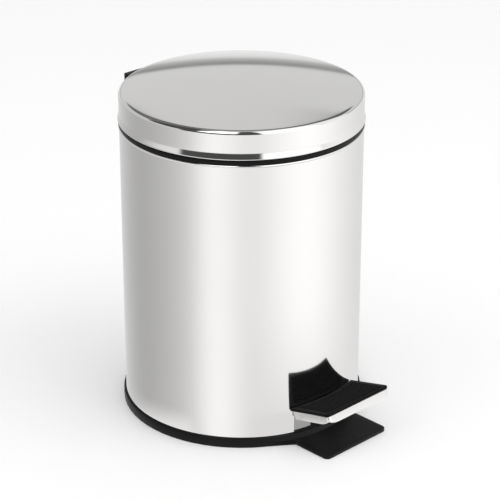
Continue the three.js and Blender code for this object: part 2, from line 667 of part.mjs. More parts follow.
// One strip from under the tray, over the axle, to the foot of the push rod.
function pedalLever() {
  const bottom = leverTop - LEVER.thick;
  const overAxle = AXLE.z + AXLE_KNUCKLE.radius;
  const side = [
    onPedal(LEVER.reach, leverTop),
    onPedal(LEVER.reach, bottom),
    onPedal(2, bottom),
    [AXLE.y - 8, overAxle - LEVER.thick],
    [AXLE.y + 8, overAxle - LEVER.thick],
    [AXLE.y + 40, leverTail.z - LEVER.thick],
    [leverTail.y, leverTail.z - LEVER.thick],
    [leverTail.y, leverTail.z],
    [AXLE.y + 40, leverTail.z],
    [AXLE.y + 8, overAxle],
    [AXLE.y - 8, overAxle],
    onPedal(2, leverTop),
  ];
  const plan = slab([
    [LEVER.half, -2 * CAN_RADIUS],
    [LEVER.half, AXLE.y + 10],
    [LEVER.tail, leverTail.y],
    [LEVER.tail, leverTail.y + 5],
    [-LEVER.tail, leverTail.y + 5],
    [-LEVER.tail, leverTail.y],
    [-LEVER.half, AXLE.y + 10],
    [-LEVER.half, -2 * CAN_RADIUS],
  ], -10, CAN_TOP);
  const strip = sidePlate(side, LEVER.half + 1).intersect(plan);
  const knuckle = barAlongX(AXLE_KNUCKLE.radius, -AXLE_KNUCKLE.half, AXLE_KNUCKLE.half,
    AXLE.y, AXLE.z);
  const bore = barAlongX(AXLE.radius + GAP, -AXLE.half, AXLE.half, AXLE.y, AXLE.z);
  const tilt = (body) =>
    body.rotate([-PEDAL_TILT, 0, 0]).translate([0, pedalRearY, PEDAL_REAR.z]);
  const rivets = rivetBores(LEVER_RIVET.radius + GAP).map(tilt);
  return piece("pedal_lever", cut(joined(strip, knuckle), bore, ...rivets), plainSteel);
}

function leverRivets() {
  return LEVER_RIVET.stations.map((station, i) => {
    const seat = leverTop - LEVER.thick - GAP;
    const shank = bar(LEVER_RIVET.radius, seat - 0.5, trayTop - 0.1, 0, -station);
    const head = bar(LEVER_RIVET.headRadius, seat - LEVER_RIVET.headHeight, seat, 0, -station);
    const name = i === 0 ? "lever_rivet_rear" : "lever_rivet_front";
    return piece(name, joined(shank, head), plainSteel);
  });
}

// ---------------------------------------------------------------- assembly
const can = group(outerBody(), rimRing(), bodyPan(), panBush(), ...panScrews(), base(),
  ...axle(), innerBucket(), hingeBracket(), hingePin(), rodGuide(), ...bracketScrews());
const lid = group(lidShell(), lidLiner(), ...lidBumpers(), ...lidRivets(), lidHingeBlock());
const pedalHead = group(pedalPad(), pedalPlate(), ...leverRivets());
pedalHead.position.set(0, pedalRearY, PEDAL_REAR.z);
pedalHead.rotation.x = -slope;
const pedal = group(pedalHead, pedalLever());

export default group(can, lid, pedal, group(...pushRod()), bucketHandle());
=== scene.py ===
# %% [markdown]
# A pedal bin of about five litres: a polished steel can on a black plastic base, a pressed
# steel lid on a hinge, and a foot pedal whose lever lifts a push rod under the lid.
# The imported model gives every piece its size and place. This lesson builds the fine surface of
# each piece round those sizes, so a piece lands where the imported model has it.

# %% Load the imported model
import math

import bmesh
import bpy
from mathutils import Matrix, Vector


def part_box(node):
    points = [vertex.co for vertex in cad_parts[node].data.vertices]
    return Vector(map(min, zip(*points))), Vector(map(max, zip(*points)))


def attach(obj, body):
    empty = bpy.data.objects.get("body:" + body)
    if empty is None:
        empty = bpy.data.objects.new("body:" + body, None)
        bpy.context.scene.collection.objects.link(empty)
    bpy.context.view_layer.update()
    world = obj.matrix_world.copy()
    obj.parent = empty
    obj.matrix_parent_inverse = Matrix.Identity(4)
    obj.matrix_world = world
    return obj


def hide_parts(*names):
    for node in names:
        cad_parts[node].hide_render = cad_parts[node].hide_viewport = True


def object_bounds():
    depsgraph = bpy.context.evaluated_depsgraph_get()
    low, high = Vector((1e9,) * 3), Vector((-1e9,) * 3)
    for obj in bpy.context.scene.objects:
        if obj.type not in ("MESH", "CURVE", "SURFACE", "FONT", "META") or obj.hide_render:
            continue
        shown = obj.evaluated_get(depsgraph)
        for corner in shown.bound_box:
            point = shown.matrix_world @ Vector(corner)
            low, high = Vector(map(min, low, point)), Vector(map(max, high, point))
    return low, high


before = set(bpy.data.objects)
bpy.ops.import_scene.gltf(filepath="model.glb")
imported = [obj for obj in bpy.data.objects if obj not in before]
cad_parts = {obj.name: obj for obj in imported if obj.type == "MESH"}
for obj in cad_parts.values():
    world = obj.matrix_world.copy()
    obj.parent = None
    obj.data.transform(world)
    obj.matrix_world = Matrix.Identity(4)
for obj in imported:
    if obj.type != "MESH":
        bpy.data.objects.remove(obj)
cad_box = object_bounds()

MM = 0.001
print("CAD box", [round(c / MM, 1) for corner in cad_box for c in corner])

# %% [markdown]
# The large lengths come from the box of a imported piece. A turned piece is as wide as its box,
# because its facets start on the X axis, so half its width is its radius. The few sizes that no
# box gives, such as the thickness of the sheet, are named where they are first used.

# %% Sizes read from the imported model


def radius_of(node):
    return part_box(node)[1].x


def low_of(node):
    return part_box(node)[0].z


def high_of(node):
    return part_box(node)[1].z


CAN_RADIUS = radius_of("outer_body")
LID_RADIUS = radius_of("lid_shell")
print("can radius", round(CAN_RADIUS / MM, 1), "lid radius", round(LID_RADIUS / MM, 1))

# %% [markdown]
# Every piece ends in the same way. Its bmesh becomes an object whose faces are shaded smooth,
# except across real edges, and the object is given its material and the body that carries it.
# The object itself stays at the origin, with its place in its mesh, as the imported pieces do.

# %% Helpers that finish a piece and put it on its body


def finish_mesh(bm, name, sharp=38):
    """The bmesh as an object with smooth faces that break only at edges over sharp degrees."""
    mesh = bpy.data.meshes.new(name)
    bm.to_mesh(mesh)
    bm.free()
    mesh.polygons.foreach_set("use_smooth", [True] * len(mesh.polygons))
    mesh.set_sharp_from_angle(angle=math.radians(sharp))
    piece = bpy.data.objects.new(name, mesh)
    bpy.context.scene.collection.objects.link(piece)
    return piece


def place(piece, body, material, slot, *nodes):
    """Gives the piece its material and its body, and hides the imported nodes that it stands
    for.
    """
    piece.data.materials.clear()
    piece.data.materials.append(material)
    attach(piece, body)
    if nodes:
        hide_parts(*nodes)
    print(piece.name, len(piece.data.polygons), "faces on", body)
    return piece


# %% [markdown]
# Materials. Each one starts from the real stuff and how its surface was made. Colours are
# written as sRGB hex and turned to linear by one function, because shaders work in linear
# light. One small helper adds a node with its settings and links.

# %% Material helpers


def linear(hex_colour):
    """A linear RGBA from an sRGB hex string such as #c8c8c8."""
    channels = [int(hex_colour[i:i + 2], 16) / 255 for i in (1, 3, 5)]
    return [c / 12.92 if c <= 0.04045 else ((c + 0.055) / 1.055) ** 2.4
            for c in channels] + [1.0]


def add(tree, kind, settings=None, **sockets):
    """A shader node. Settings are its properties; sockets take a value or another output.

    A socket is given by its name, with _ for a space, or as n0, n1, n2 by its number.
    """
    node = tree.nodes.new(kind)
    for key, value in (settings or {}).items():
        setattr(node, key, value)
    for key, value in sockets.items():
        numbered = key[0] == "n" and key[1:].isdigit()
        socket = node.inputs[int(key[1:]) if numbered else key.replace("_", " ")]
        if isinstance(value, bpy.types.NodeSocket):
            tree.links.new(value, socket)
        else:
            socket.default_value = value
    return node


def new_material(name):
    """An empty principled material, and the object coordinates that its patterns follow."""
    material = bpy.data.materials.new(name)
    material.use_nodes = True
    tree = material.node_tree
    tree.nodes.clear()
    shader = add(tree, "ShaderNodeBsdfPrincipled")
    output = add(tree, "ShaderNodeOutputMaterial")
    tree.links.new(shader.outputs["BSDF"], output.inputs["Surface"])
    where = add(tree, "ShaderNodeTexCoord").outputs["Object"]
    return material, tree, shader, where


# %% [markdown]
# Polished stainless steel, rolled as sheet and buffed. It mirrors what is close to it and
# softens what is far. Buffing leaves faint hazy patches, a very fine grain, and the sheet is
# never quite flat, which makes the long reflections lean and waver a little.

# %% Polished stainless steel
HAZE_PATCH = 45.5 * MM
# The buffing grain is really finer than 0.1 mm; this is the finest that still shows.
BUFFING_GRAIN = 0.625 * MM
SHEET_WAVE = 111 * MM


def polished_stainless(name, wave=0.018 * MM, haze=0.03, roughness=0.055):
    material, tree, shader, where = new_material(name)
    patches = add(tree, "ShaderNodeTexNoise", Vector=where, Scale=1 / HAZE_PATCH, Detail=3.0)
    # The grain runs up and down the wall, 25 times as long as it is wide.
    grain_space = add(tree, "ShaderNodeMapping", Vector=where, Scale=(1, 1, 0.04))
    grain = add(tree, "ShaderNodeTexNoise", Vector=grain_space.outputs["Vector"],
                Scale=1 / BUFFING_GRAIN, Detail=2.0)
    rough = add(tree, "ShaderNodeMapRange", Value=patches.outputs["Fac"],
                From_Min=0.3, From_Max=0.7, To_Min=roughness, To_Max=roughness + haze)
    rough_grain = add(tree, "ShaderNodeMath", {"operation": "MULTIPLY_ADD"},
                      n0=grain.outputs["Fac"], n1=0.02, n2=rough.outputs["Result"])
    sheet = add(tree, "ShaderNodeTexNoise", Vector=where, Scale=1 / SHEET_WAVE, Detail=1.0)
    bump = add(tree, "ShaderNodeBump", Strength=1.0, Distance=wave,
               Height=sheet.outputs["Fac"])
    colour = add(tree, "ShaderNodeMix", {"data_type": "RGBA"}, Factor=patches.outputs["Fac"],
                 A=linear("#dcdbda"), B=linear("#e0dfde"))
    tree.links.new(colour.outputs["Result"], shader.inputs["Base Color"])
    tree.links.new(rough_grain.outputs["Value"], shader.inputs["Roughness"])
    tree.links.new(bump.outputs["Normal"], shader.inputs["Normal"])
    shader.inputs["Metallic"].default_value = 1.0
    return material


WALL_STEEL = polished_stainless("polished_stainless_rolled_sheet")
LID_STEEL = polished_stainless("polished_stainless_pressed_lid", wave=0.01 * MM, haze=0.02)
# The tray is tumbled, not buffed, after pressing, so its mirror is blurred.
TRAY_STEEL = polished_stainless("tumbled_stainless_pressed_tray", wave=0.01 * MM,
                                roughness=0.24)
print("steel ready")

# %% [markdown]
# Zinc-plated and galvanised steel for what is out of sight: greyer, rougher, with the soft
# mottle that the plating bath leaves. The mottle has two sizes, the crystals of the zinc, called
# its spangle, and the wider blotches where the bath drained off.

# %% Plated steel
PLATING_BLOTCH = 16.7 * MM


def plated_steel(name, colour_hex, roughness, spangle):
    material, tree, shader, where = new_material(name)
    crystals = add(tree, "ShaderNodeTexVoronoi", Vector=where, Scale=1 / spangle)
    blotch = add(tree, "ShaderNodeTexNoise", Vector=where, Scale=1 / PLATING_BLOTCH, Detail=4.0)
    level = add(tree, "ShaderNodeMath", {"operation": "MULTIPLY_ADD"},
                n0=crystals.outputs["Distance"], n1=0.25, n2=blotch.outputs["Fac"])
    rough = add(tree, "ShaderNodeMapRange", Value=level.outputs["Value"],
                From_Min=0.3, From_Max=0.9, To_Min=roughness - 0.06, To_Max=roughness + 0.08)
    bump = add(tree, "ShaderNodeBump", Strength=0.3, Distance=0.03 * MM,
               Height=level.outputs["Value"])
    tree.links.new(rough.outputs["Result"], shader.inputs["Roughness"])
    tree.links.new(bump.outputs["Normal"], shader.inputs["Normal"])
    shader.inputs["Base Color"].default_value = linear(colour_hex)
    shader.inputs["Metallic"].default_value = 1.0
    return material


ZINC = plated_steel("zinc_plated_steel", "#c3c4c6", roughness=0.28, spangle=1.2 * MM)
GALVANISED = plated_steel("galvanised_steel_sheet", "#a2a2a1", roughness=0.5, spangle=6 * MM)
print("plated steels ready")

# %% [markdown]
# Black polypropylene is injection moulded in a tool with a spark-eroded skin. That skin is a
# fine even sand, about 0.15 mm from grain to grain, which spreads the highlights. It is drawn at
# 0.5 mm so that it shows. The gloss also drifts a little where the plastic flowed in the tool.

# %% Moulded plastics and rubber
FLOW_MARK = 55.5 * MM
POLYMER_IOR = 1.49


def moulded(name, colour_hex, roughness, grain, depth, specular=0.5):
    material, tree, shader, where = new_material(name)
    skin = add(tree, "ShaderNodeTexNoise", Vector=where, Scale=1 / grain, Detail=2.0,
               Roughness=0.6)
    flow = add(tree, "ShaderNodeTexNoise", Vector=where, Scale=1 / FLOW_MARK, Detail=3.0)
    rough = add(tree, "ShaderNodeMapRange", Value=flow.outputs["Fac"], From_Min=0.3,
                From_Max=0.7, To_Min=roughness - 0.05, To_Max=roughness + 0.05)
    bump = add(tree, "ShaderNodeBump", Strength=0.6, Distance=depth,
               Height=skin.outputs["Fac"])
    tree.links.new(rough.outputs["Result"], shader.inputs["Roughness"])
    tree.links.new(bump.outputs["Normal"], shader.inputs["Normal"])
    shader.inputs["Base Color"].default_value = linear(colour_hex)
    shader.inputs["Specular IOR Level"].default_value = specular
    shader.inputs["IOR"].default_value = POLYMER_IOR
    return material


BLACK_PP = moulded("black_polypropylene_spark_finish", "#070707", roughness=0.40,
                   grain=0.5 * MM, depth=0.02 * MM, specular=0.16)
BUCKET_PP = moulded("black_polypropylene_bucket", "#1b1b1c", roughness=0.42,
                    grain=0.6 * MM, depth=0.015 * MM)
ACETAL = moulded("natural_acetal_moulded", "#dcdad2", roughness=0.4,
                 grain=0.8 * MM, depth=0.01 * MM)
RUBBER = moulded("black_rubber_moulded", "#070707", roughness=0.6,
                 grain=0.4 * MM, depth=0.03 * MM, specular=0.12)
print("plastics ready")

# %% [markdown]
# The can wall is one sheet rolled into a cylinder. Its upper edge is curled outwards into a fine
# bead under the plastic rim, and its lower edge is tucked in where it stands on the base. The
# front has a notch for the pedal. The wall is spun in two sweeps so that the notch's sides fall
# on rows of faces, and the faces in the notch are removed. A boolean would cut it too, but
# would leave long thin faces that show in the mirror finish.

# %% Section of the can wall
WALL = 0.8 * MM
BEAD = 1.1 * MM
BEAD_INSET = 0.3 * MM  # of the bead's centre, so that most of the bead stands proud
TUCK = 1.6 * MM
LIP_DROP = 1.0 * MM  # the bead lies this much lower, so the rim's lip shows deeper over it
NOTCH_HALF = 32.3 * MM
NOTCH_TOP = 30 * MM
WALL_STEPS = 216  # columns of faces round the wall, and across the notch
NOTCH_STEPS = 24


def arc(centre, radius, start, end, steps):
    """Points on a circle of a section, with angles in degrees from the +r axis towards +z."""
    points = []
    for i in range(steps + 1):
        a = math.radians(start + (end - start) * i / steps)
        points.append((centre[0] + radius * math.cos(a), centre[1] + radius * math.sin(a)))
    return points


def wall_section(radius, low, top, notch_top):
    """The sheet's outside as an open line, from the tucked foot to the curled bead."""
    # The tucked foot is about a quarter of an ellipse, given in shares of the tuck.
    foot = [(radius - inset * TUCK, low + rise * TUCK)
            for inset, rise in ((0.45, 0), (0.22, 0.12), (0.06, 0.4), (0, 0.9))]
    bead = arc((radius - BEAD_INSET, top - BEAD), BEAD, -74, 90, 12)
    rise = bead[0][1] - notch_top
    plain = [(radius, notch_top + rise * k / 8) for k in range(8)]
    return foot + plain + bead


# %% Can wall


def notched_cylinder(section, radius, notch_half, notch_top, thickness):
    """The section spun round with a notch at -Y, thickened inwards."""
    half_angle = math.asin(notch_half / radius)
    start = -math.pi / 2 + half_angle
    bm = bmesh.new()
    for sweep_start, sweep, steps in (
            (start, math.tau - 2 * half_angle, WALL_STEPS),
            (start - 2 * half_angle, 2 * half_angle, NOTCH_STEPS)):
        turn = Matrix.Rotation(sweep_start, 3, "Z")
        line = [bm.verts.new(turn @ Vector((r, 0, z))) for r, z in section]
        edges = [bm.edges.new(pair) for pair in zip(line, line[1:])]
        bmesh.ops.spin(bm, geom=line + edges, cent=(0, 0, 0), axis=(0, 0, 1), angle=sweep,
                       steps=steps, use_merge=False, use_duplicate=False)
    bmesh.ops.remove_doubles(bm, verts=bm.verts, dist=1e-6)
    inside = [f for f in bm.faces
              if f.calc_center_median().z < notch_top
              and f.calc_center_median().y < 0
              and abs(f.calc_center_median().x) < notch_half]
    bmesh.ops.delete(bm, geom=inside, context="FACES")
    bmesh.ops.recalc_face_normals(bm, faces=bm.faces)
    sample = bm.faces[:][0]
    if sample.normal.dot(sample.calc_center_median().xy.to_3d()) < 0:
        bmesh.ops.reverse_faces(bm, faces=bm.faces)
    bmesh.ops.solidify(bm, geom=bm.faces[:], thickness=thickness)
    bmesh.ops.recalc_face_normals(bm, faces=bm.faces)
    return bm


sheet = wall_section(CAN_RADIUS, low_of("outer_body"), high_of("outer_body") - LIP_DROP,
                     NOTCH_TOP)
wall_bm = notched_cylinder(sheet, CAN_RADIUS, NOTCH_HALF, NOTCH_TOP, WALL)
place(finish_mesh(wall_bm, "can_wall"), "can", WALL_STEEL, "polished_steel", "outer_body")

# %% [markdown]
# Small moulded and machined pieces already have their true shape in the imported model, as loose
# flat triangles. A copy is merged, its flat areas are dissolved into whole faces, and its sharp
# edges are bevelled. The bevel catches a thin line of light, as a real deburred edge does.

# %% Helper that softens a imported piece
FLAT = math.radians(1)  # faces that meet within this are one flat face
CORNER = math.radians(30)  # edges sharper than this are bevelled


def softened(node, width, segments=2):
    """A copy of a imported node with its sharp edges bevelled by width."""
    bm = bmesh.new()
    bm.from_mesh(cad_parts[node].data)
    bmesh.ops.remove_doubles(bm, verts=bm.verts, dist=1e-6)
    bmesh.ops.dissolve_limit(bm, angle_limit=FLAT, verts=bm.verts, edges=bm.edges)
    sharp = [e for e in bm.edges if e.is_manifold and e.calc_face_angle(0) > CORNER]
    bmesh.ops.bevel(bm, geom=sharp, offset=width, offset_type="OFFSET", segments=segments,
                    profile=0.5, affect="EDGES", clamp_overlap=True, material=-1)
    return finish_mesh(bm, f"{node}_fine", sharp=50)


# %% [markdown]
# The pan is a shallow pressing that the bucket stands on. Only its skirt shows, through the
# notch. It, the screws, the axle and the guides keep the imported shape, softened at the edges.

# %% Hidden steel and acetal pieces
place(softened("body_pan", 0.15 * MM), "can", GALVANISED, "pan_steel", "body_pan")
for node in ("pedal_axle", "axle_clip_left", "axle_clip_right", "hinge_pin",
             "bracket_screw_left", "bracket_screw_right", "pan_screw_front_left",
             "pan_screw_front_right", "pan_screw_rear_left", "pan_screw_rear_right"):
    place(softened(node, 0.35 * MM), "can", ZINC, "plated_steel", node)
for node in ("pan_bush", "rod_guide"):
    place(softened(node, 0.25 * MM), "can", ACETAL, "white_plastic", node)

# %% [markdown]
# The base is one black moulding: a ring that the wall stands on, a floor, and a tongue that
# lies on the ground under the pedal. Its outer edge is softly rounded.

# %% Base
base = place(softened("base", 0.6 * MM, segments=3), "can", BLACK_PP, "black_plastic", "base")
# The wall and the tray would mirror the base's edge as stray dark slivers.
base.visible_glossy = False

# %% [markdown]
# Turned and pressed pieces are drawn as a section and spun round the can's axis. Real pressed
# sheet and moulded plastic have no knife edges, so each corner of a section is given a radius.
# A corner could be bevelled after the spin, but rounding the section first keeps even rows of
# faces, and even rows are what makes a clean reflection in polished steel.

# %% Helpers that round and spin a section
SPIN_STEPS = 216


def rounded(points, radii, steps=5):
    """The closed outline with each corner replaced by an arc of its radius, 0 to keep it."""
    out = []
    for i, radius in enumerate(radii):
        here = Vector(points[i])
        if radius == 0:
            out.append(points[i])
            continue
        before = Vector(points[i - 1]) - here
        after = Vector(points[(i + 1) % len(points)]) - here
        half = before.angle(after) / 2
        reach = min(radius / math.tan(half), before.length * 0.49, after.length * 0.49)
        start = here + before.normalized() * reach
        end = here + after.normalized() * reach
        for k in range(steps + 1):
            t = k / steps
            # A quadratic curve through the corner is within a hair of the arc here.
            out.append(tuple(start * (1 - t) ** 2 + here * 2 * t * (1 - t) + end * t ** 2))
    return out


def spin_section(section, closed=True):
    """A bmesh spun from a section of (radius, z) points round the Z axis."""
    bm = bmesh.new()
    line = [bm.verts.new((r, 0, z)) for r, z in section]
    pairs = list(zip(line, line[1:]))
    if closed:
        pairs.append((line[-1], line[0]))
    edges = [bm.edges.new(pair) for pair in pairs]
    bmesh.ops.spin(bm, geom=line + edges, cent=(0, 0, 0), axis=(0, 0, 1), angle=math.tau,
                   steps=SPIN_STEPS, use_merge=True, use_duplicate=False)
    bmesh.ops.remove_doubles(bm, verts=bm.verts, dist=1e-7)
    bmesh.ops.dissolve_degenerate(bm, dist=1e-7, edges=bm.edges)
    bmesh.ops.recalc_face_normals(bm, faces=bm.faces)
    return bm


# %% [markdown]
# The rim is a plastic ring pushed into the mouth of the can. It hides the raw edge of the sheet
# and shows as a thin black line under the lid.

# %% Rim ring
RIM_GAP = 0.3 * MM  # between the rim and the sheet, beside it and above the bead
RIM_WALL = 1.5 * MM


def rim():
    low, high = low_of("rim_ring"), high_of("rim_ring")
    outer = radius_of("rim_ring")
    skirt = CAN_RADIUS - WALL - RIM_GAP
    inner = skirt - RIM_WALL
    seat = high_of("outer_body") + RIM_GAP - LIP_DROP
    corners = [(inner, low), (skirt, low), (skirt, seat), (outer, seat),
               (outer, high), (inner, high)]
    # The lip that shows is the softest; the corner that grips the sheet stays sharp.
    radii = [0.4 * MM, 0.4 * MM, 0, 0.6 * MM, 1.0 * MM, 0.8 * MM]
    return finish_mesh(spin_section(rounded(corners, radii)), "rim_moulding")


place(rim(), "can", BLACK_PP, "black_plastic", "rim_ring")

# %% [markdown]
# The lid is deep drawn from one disc: a straight band, a tight rounded fold, and a shallow dome
# that keeps the sheet stiff. The band is as wide as the can. Its last few millimetres flare out
# a little and end in a rolled edge, so no raw edge shows and a thin bright line runs along it.

# %% Section of the lid
FLARE = 1.1 * MM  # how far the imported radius, at the foot, stands out from the band
LID_BAND_RADIUS = LID_RADIUS - FLARE
LID_BAND_HEIGHT = 20 * MM
LID_FOLD = 3.8 * MM
LID_CROWN = 9.5  # degrees that the dome has turned down by where it meets the fold
FLARE_TILT = 12.5  # degrees
FLARE_BEND = 12 * MM
FLARE_START = 7.2 * MM  # above the lid's foot
EDGE_ROLL = 0.62 * MM
HEM_INSET = 0.2 * MM  # the hem folded up inside the foot stands this far in from the sheet
HEM_HEIGHT = 1.0 * MM


def lid_outside(fold_z, inset):
    """The dome and the fold, from the apex down to the top of the band, set in by inset."""
    centre = (LID_BAND_RADIUS - LID_FOLD, fold_z)
    slope = math.radians(LID_CROWN)
    sphere = (centre[0] + LID_FOLD * math.sin(slope)) / math.sin(slope)
    dome_z = fold_z + (LID_FOLD - sphere) * math.cos(slope)
    dome = arc((0, dome_z), sphere - inset, 90, 90 - LID_CROWN, 26)
    fold = arc(centre, LID_FOLD - inset, 90 - LID_CROWN, 0, 14)
    return [(0, dome[0][1])] + dome[1:] + fold[1:]


def lid_foot(bottom):
    """The flared foot of the band and its rolled edge."""
    bend_centre = (LID_BAND_RADIUS + FLARE_BEND, bottom + FLARE_START)
    bend = arc(bend_centre, FLARE_BEND, 180, 180 + FLARE_TILT, 10)
    radius, z = bend[-1]
    drop = z - (bottom + EDGE_ROLL)
    widest = radius + drop * math.tan(math.radians(FLARE_TILT))
    cone = [(radius + (widest - radius) * k / 4, z - drop * k / 4) for k in (1, 2, 3)]
    roll = arc((widest - EDGE_ROLL, bottom + EDGE_ROLL), EDGE_ROLL, FLARE_TILT, -90, 8)
    return bend + cone + roll


# %% Lid shell


def lid():
    bottom = low_of("lid_shell")
    outside = lid_outside(bottom + LID_BAND_HEIGHT, 0)
    inside = lid_outside(bottom + LID_BAND_HEIGHT, WALL)
    rows = [(LID_BAND_RADIUS, bottom + LID_BAND_HEIGHT * k / 8) for k in (7, 6, 5, 4)]
    inner = LID_BAND_RADIUS - WALL
    hem = [(inner - HEM_INSET, bottom + 0.1 * MM), (inner - HEM_INSET, bottom + HEM_HEIGHT),
           (inner, bottom + HEM_HEIGHT + HEM_INSET)]
    section = outside + rows + lid_foot(bottom) + hem + inside[::-1]
    print("lid apex", round(section[0][1] / MM, 2), "edge radius",
          round(max(r for r, z in section) / MM, 2))
    return finish_mesh(spin_section(section, closed=False), "lid_pressing")


place(lid(), "lid", LID_STEEL, "polished_steel", "lid_shell")

# %% [markdown]
# The liner inside the lid and the hinge block behind it were made to meet the lid at its packed
# radius. The band is narrower than that by the flare, so the faces that meet it are drawn in.

# %% Lid fittings


def drawn_in(piece, near, far):
    """Moves what lies between two distances from the lid's radius inwards, to the band."""
    bm = bmesh.new()
    bm.from_mesh(piece.data)
    for vert in bm.verts:
        if near < vert.co.xy.length - LID_RADIUS < far:
            inwards = -vert.co.xy.normalized().to_3d()
            bmesh.ops.translate(bm, verts=[vert], vec=inwards * FLARE)
    bm.to_mesh(piece.data)
    bm.free()
    return piece


liner = drawn_in(softened("lid_liner", 0.5 * MM), -2.4 * MM, -0.2 * MM)
place(liner, "lid", BLACK_PP, "black_plastic", "lid_liner")
block = drawn_in(softened("lid_hinge_block", 0.9 * MM, segments=3), -0.4 * MM, 2.0 * MM)
place(block, "lid", BLACK_PP, "black_plastic", "lid_hinge_block")
for node in ("lid_rivet_left", "lid_rivet_right"):
    place(softened(node, 0.4 * MM), "lid", ZINC, "plated_steel", node)
for node in ("lid_bumper_front", "lid_bumper_left", "lid_bumper_right"):
    place(softened(node, 0.3 * MM), "lid", RUBBER, "black_rubber", node)
place(softened("hinge_bracket", 0.9 * MM, segments=3), "can", BLACK_PP, "black_plastic",
      "hinge_bracket")

# %% [markdown]
# The bucket lifts out by its wire bail, which hangs in two ears. The push rod stands on the
# lever's tail in an acetal shoe and lifts the lid's lug with an acetal head, because acetal
# slides well and is quiet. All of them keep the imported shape, softened at the edges.

# %% Inner bucket and bail
place(softened("inner_bucket", 0.5 * MM), "can", BUCKET_PP, "bucket_plastic", "inner_bucket")
place(softened("bucket_handle", 0.1 * MM), "bail", ZINC, "plated_steel", "bucket_handle")

# %% Push rod
place(softened("push_rod", 0.4 * MM), "push_rod", ZINC, "plated_steel", "push_rod")
place(softened("rod_shoe", 0.5 * MM), "push_rod", ACETAL, "white_plastic", "rod_shoe")
place(softened("rod_head", 0.5 * MM), "push_rod", ACETAL, "white_plastic", "rod_head")

# %% [markdown]
# The pedal is a pressed steel tray with a black rubber pad on it, riveted to the lever. It
# slopes, so the tray, the studs and the pad are drawn flat, with the pad's top at z = 0 and its
# rear corners at y = 0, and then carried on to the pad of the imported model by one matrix.

# %% Lever
place(softened("pedal_lever", 0.3 * MM), "pedal", ZINC, "plated_steel", "pedal_lever")
for node in ("lever_rivet_rear", "lever_rivet_front"):
    place(softened(node, 0.4 * MM), "pedal", ZINC, "plated_steel", node)

# %% The plane of the pad's top
pad_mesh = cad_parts["pedal_pad"].data
pad_top = max((p for p in pad_mesh.polygons if p.normal.z > 0.9), key=lambda p: p.area)
pad_tilt = math.atan2(pad_top.normal.y, pad_top.normal.z)
pad_points = [v.co for v in pad_mesh.vertices]
pad_half = max(p.x for p in pad_points)
rear_corner = max((p for p in pad_points if p.x > pad_half - 1e-5), key=lambda p: (p.y, p.z))
on_pad = (Matrix.Translation((0, rear_corner.y, rear_corner.z))
          @ Matrix.Rotation(-pad_tilt, 4, "X"))
pad_length = -min((on_pad.inverted() @ p).y for p in pad_points)
print("pad tilt", round(math.degrees(pad_tilt), 2), "half", round(pad_half / MM, 2),
      "length", round(pad_length / MM, 2))

# %% [markdown]
# The tray's sides and front are turned down from one sheet. Where two turned edges meet, the
# sheet is relieved, so the skirt is shallow at each front corner and deepens away from it. The
# tray narrows to the rear, where it passes in front of the notch, and the pad overhangs it.

# %% Outline and skirt of the pedal tray
TRAY_REAR_HALF = NOTCH_HALF + 1.4 * MM
TRAY_FRONT_HALF = pad_half - 0.1 * MM
TRAY_FRONT = -pad_length - 0.1 * MM  # just in front of the pad's front edge
TRAY_TOP = -2.3 * MM  # below the pad's top
TRAY_CORNER = 3.4 * MM
TRAY_WALL_GAP = 0.9 * MM
TRAY_DRAFT = math.radians(4)  # the sides lean in a little towards their lower edge
SKIRT_REAR = 10.4 * MM  # below the pad's top, as the next two are
SKIRT_FRONT = 9.2 * MM
SKIRT_CORNER = 4.6 * MM
SKIRT_RELIEF = 11 * MM  # how far from a front corner the skirt is at its full depth


def rear_edge_y(x, radius):
    """Where a line along the pedal at x meets a circle round the can, on the pad's plane."""
    return (-math.sqrt(radius ** 2 - x ** 2) - rear_corner.y) / math.cos(pad_tilt)


def pedal_outline(rear_half, front_half, front, corner, gap):
    """The pedal from above, in the pad's plane: rounded front corners, a rear round the can.

    Its straight sides and front are cut into short steps, so that a skirt can curve below them.
    """
    left = [(-rear_half, rear_edge_y(rear_half, CAN_RADIUS + gap))]
    nose = arc((-front_half + corner, front + corner), corner, 184, 270, 8)
    left += [tuple(Vector(left[0]).lerp(Vector(nose[0]), k / 12)) for k in range(1, 12)]
    half_front = [(nose[-1][0] * (1 - k / 10), front) for k in range(1, 11)]
    side = left + nose + half_front
    other = [(-x, y) for x, y in reversed(side[:-1])]
    across = [rear_half * (1 - k / 8) for k in range(1, 16)]
    return side + other + [(x, rear_edge_y(x, CAN_RADIUS + gap)) for x in across]


def skirt_depth(x, y):
    """How far the skirt hangs below the pad's top, shallow at the front corners."""
    away = math.hypot(abs(x) - TRAY_FRONT_HALF, y + pad_length) / SKIRT_RELIEF
    rise = math.sqrt(1 - (1 - min(away, 1)) ** 2)
    full = SKIRT_REAR + (SKIRT_FRONT - SKIRT_REAR) * min(-y / pad_length, 1)
    return SKIRT_CORNER + (full - SKIRT_CORNER) * rise


# %% Pedal tray
TRAY_SHEET = 1.0 * MM
FOLD_RADIUS = 0.8 * MM
REAR_ZONE = 12 * MM  # the hollow rear edge lies within this of the pad's rear corners


def under_rear_edge(face):
    """Whether a face hangs from the hollow rear edge, where the real tray has no skirt."""
    rear_y = rear_edge_y(TRAY_REAR_HALF, CAN_RADIUS + TRAY_WALL_GAP)
    return (len(face.verts) == 4
            and min(v.co.y for v in face.verts) > -REAR_ZONE
            and max(abs(v.co.x) for v in face.verts) < TRAY_REAR_HALF + 1e-6
            and face.calc_center_median().y < rear_y + 1e-6
            and abs(face.normal.x) < 0.5)


